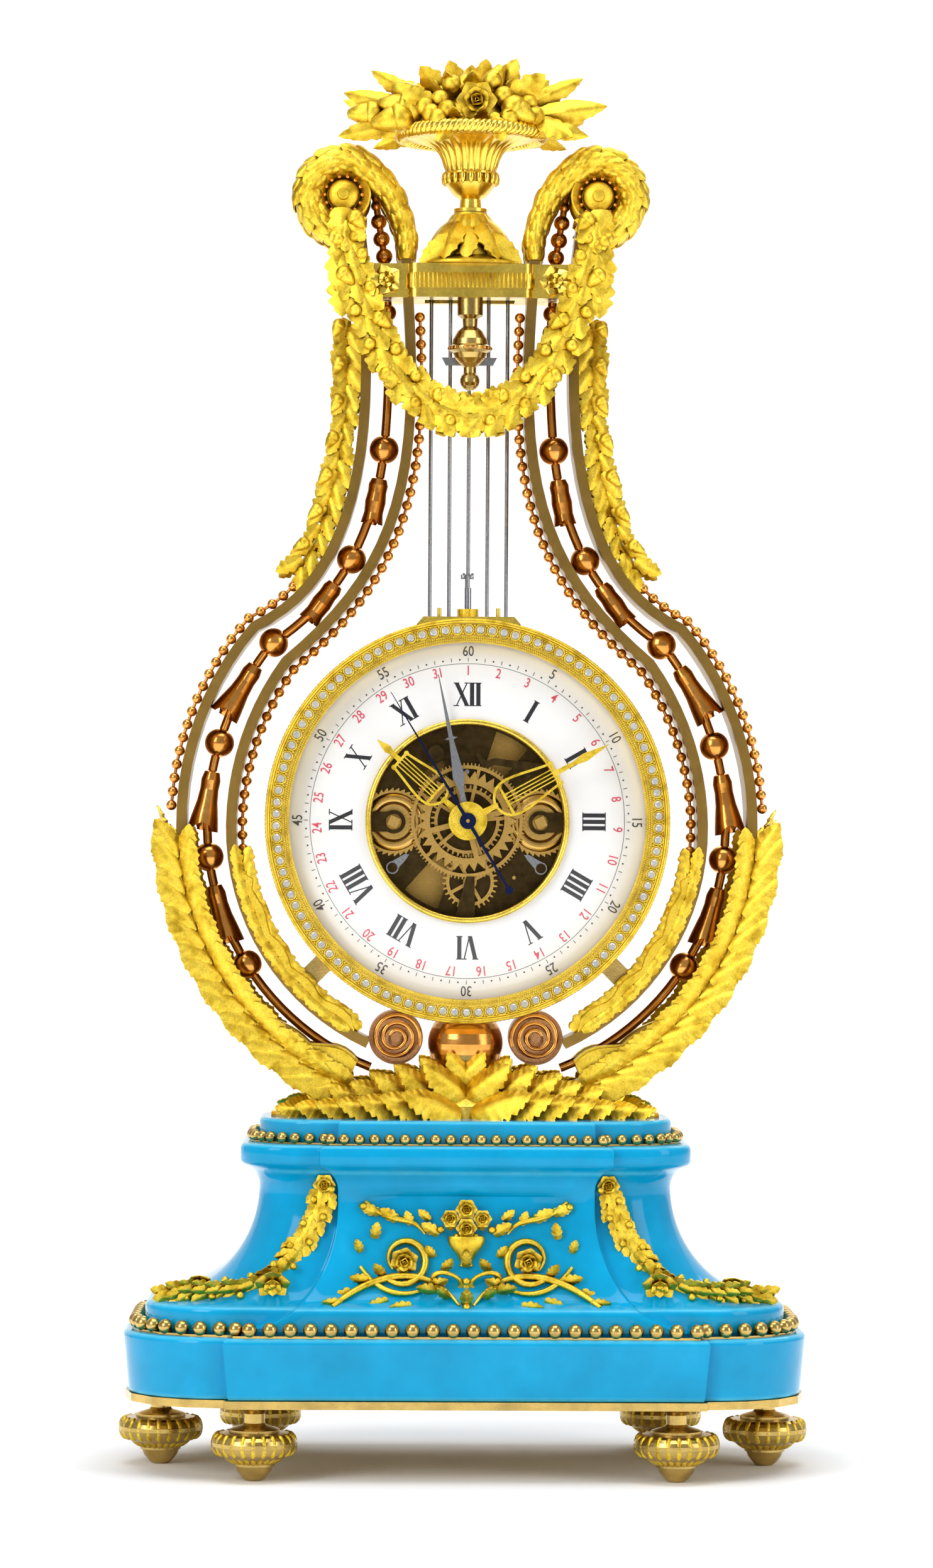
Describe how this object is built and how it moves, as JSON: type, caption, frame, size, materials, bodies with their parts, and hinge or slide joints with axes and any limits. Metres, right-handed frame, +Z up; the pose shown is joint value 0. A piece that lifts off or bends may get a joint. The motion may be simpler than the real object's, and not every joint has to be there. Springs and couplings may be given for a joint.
{
  "type": "lyre clock",
  "caption": "Lyre-shaped mantel clock with an open enamel dial, a jewelled ring on a gridiron pendulum, and a garlanded porcelain base.",
  "frame": {"origin": "bottom centre, on the plane that the feet stand on", "axes": "+Z up, front towards -Y, +X to the viewer's right"},
  "size_m": [0.3064, 0.1574, 0.6265],
  "materials": {
    "gilt": "bright mercury gilding, matt and burnished",
    "gilt_rose": "rose-gold gilding, burnished",
    "gilt_olive": "brushed olive-gold faces",
    "copper_scroll": "dark copper-coloured bronze",
    "porcelain": "turquoise glaze",
    "enamel": "white enamel with numerals",
    "movement_brass": "polished",
    "plates_dark": "dark patinated",
    "steel": "polished",
    "blued_steel": "blued",
    "bell_metal": "turned",
    "paste": "faceted paste stones"
  },
  "bodies": {
    "case": {"feet": "gilt", "tray": "gilt", "plinth": "porcelain", "pedestal": "porcelain", "cap": "porcelain", "plinth_beads": "gilt_rose", "cap_beads": "gilt_rose", "corner_garlands": "gilt", "panel_mount": "gilt", "centre_bolt": "steel", "leaf_mound": "gilt", "ball": "gilt_rose", "scrolls": "copper_scroll", "outer_bands": "gilt_olive", "inner_bands": "gilt_olive", "outer_beads": "gilt_rose", "inner_beads": "gilt_rose", "husk_strings": "gilt", "leaf_casings": "gilt", "inner_leaves": "gilt", "volutes": "gilt", "leaf_drops": "gilt", "swag": "gilt", "yoke": "gilt", "rosettes": "gilt", "drop_finial": "gilt_rose", "finial_stem": "gilt", "basket": "gilt_rose", "bouquet": "gilt", "dial": "enamel", "dial_plate": "plates_dark", "rope_bezel": "gilt", "front_plate": "plates_dark", "back_plate": "movement_brass", "pillars": "movement_brass", "bell": "bell_metal", "movement_bracket": "plates_dark"},
    "pendulum": {"pendulum_ring": "gilt", "brilliants": "paste", "gridiron": "steel"},
    "rating_nut": {"rating_nut": "gilt"},
    "anchor": {"anchor_crutch": "steel"},
    "seconds": {"seconds_hand": "blued_steel", "escape_wheel": "movement_brass"},
    "fourth": {"fourth_wheel": "movement_brass"},
    "third": {"third_wheel": "movement_brass"},
    "time_barrel": {"time_barrel": "movement_brass"},
    "minute": {"minute_hand": "gilt", "cannon_wheel": "movement_brass"},
    "minute_wheel": {"minute_wheel": "movement_brass"},
    "hour": {"hour_hand": "gilt", "hour_wheel": "movement_brass"},
    "date": {"date_hand": "steel", "star_wheel": "movement_brass"},
    "strike_barrel": {"strike_barrel": "movement_brass"},
    "right_winding": {"right_winding_arbor": "movement_brass"},
    "left_winding": {"left_winding_arbor": "movement_brass"},
    "right_click": {"right_click": "steel"},
    "left_click": {"left_click": "steel"},
    "hammer": {"hammer": "steel"}
  },
  "joints": [
    {"name": "pendulum_swing", "type": "hinge", "parent": "case", "child": "pendulum", "pos_m": [0, 0.003, 0.526], "axis": [0, 1, 0], "range_deg": [-1.5, 1.5]},
    {"name": "rating_nut_turn", "type": "hinge", "parent": "pendulum", "child": "rating_nut", "pos_m": [0, 0.003, 0.3783], "axis": [0, 0, 1], "continuous": true},
    {"name": "anchor_rock", "type": "hinge", "parent": "case", "child": "anchor", "pos_m": [0, 0, 0.308], "axis": [0, 1, 0], "range_deg": [-2.3, 2.3]},
    {"name": "seconds_turn", "type": "hinge", "parent": "case", "child": "seconds", "pos_m": [0, 0, 0.286], "axis": [0, 1, 0], "continuous": true},
    {"name": "fourth_turn", "type": "hinge", "parent": "case", "child": "fourth", "pos_m": [0.0081, 0, 0.27197], "axis": [0, 1, 0], "continuous": true},
    {"name": "third_turn", "type": "hinge", "parent": "case", "child": "third", "pos_m": [0.02111, 0, 0.26102], "axis": [0, 1, 0], "continuous": true},
    {"name": "time_barrel_turn", "type": "hinge", "parent": "case", "child": "time_barrel", "pos_m": [0.0325, 0, 0.2855], "axis": [0, 1, 0], "continuous": true},
    {"name": "minute_turn", "type": "hinge", "parent": "case", "child": "minute", "pos_m": [0, 0, 0.286], "axis": [0, 1, 0], "continuous": true},
    {"name": "minute_wheel_turn", "type": "hinge", "parent": "case", "child": "minute_wheel", "pos_m": [0.0015, 0, 0.259], "axis": [0, 1, 0], "continuous": true},
    {"name": "hour_turn", "type": "hinge", "parent": "case", "child": "hour", "pos_m": [0, 0, 0.286], "axis": [0, 1, 0], "continuous": true},
    {"name": "date_turn", "type": "hinge", "parent": "case", "child": "date", "pos_m": [0, 0, 0.286], "axis": [0, 1, 0], "continuous": true},
    {"name": "strike_barrel_turn", "type": "hinge", "parent": "case", "child": "strike_barrel", "pos_m": [-0.0325, 0, 0.2855], "axis": [0, 1, 0], "continuous": true},
    {"name": "right_winding_turn", "type": "hinge", "parent": "case", "child": "right_winding", "pos_m": [0.0325, 0, 0.2855], "axis": [0, 1, 0], "continuous": true},
    {"name": "left_winding_turn", "type": "hinge", "parent": "case", "child": "left_winding", "pos_m": [-0.0325, 0, 0.2855], "axis": [0, 1, 0], "continuous": true},
    {"name": "right_click_lift", "type": "hinge", "parent": "case", "child": "right_click", "pos_m": [0.033, 0, 0.2652], "axis": [0, -1, 0], "range_deg": [0, 10], "stiffness_Nm_per_rad": 0.0001, "springref_deg": -20.05},
    {"name": "left_click_lift", "type": "hinge", "parent": "case", "child": "left_click", "pos_m": [-0.033, 0, 0.2652], "axis": [0, 1, 0], "range_deg": [0, 10], "stiffness_Nm_per_rad": 0.0001, "springref_deg": -20.05},
    {"name": "hammer_swing", "type": "hinge", "parent": "case", "child": "hammer", "pos_m": [-0.046, 0, 0.264], "axis": [0, -1, 0], "range_deg": [0, 15], "stiffness_Nm_per_rad": 0.003, "springref_deg": -22.92}
  ],
  "couplings": [
    {"joint": "anchor_rock", "follows": "pendulum_swing", "ratio": -1.4773},
    {"joint": "fourth_turn", "follows": "seconds_turn", "ratio": -0.125},
    {"joint": "third_turn", "follows": "seconds_turn", "ratio": 0.016667},
    {"joint": "time_barrel_turn", "follows": "seconds_turn", "ratio": -0.0020833},
    {"joint": "minute_wheel_turn", "follows": "minute_turn", "ratio": -1.3333},
    {"joint": "hour_turn", "follows": "minute_turn", "ratio": 0.083333}
  ]
}
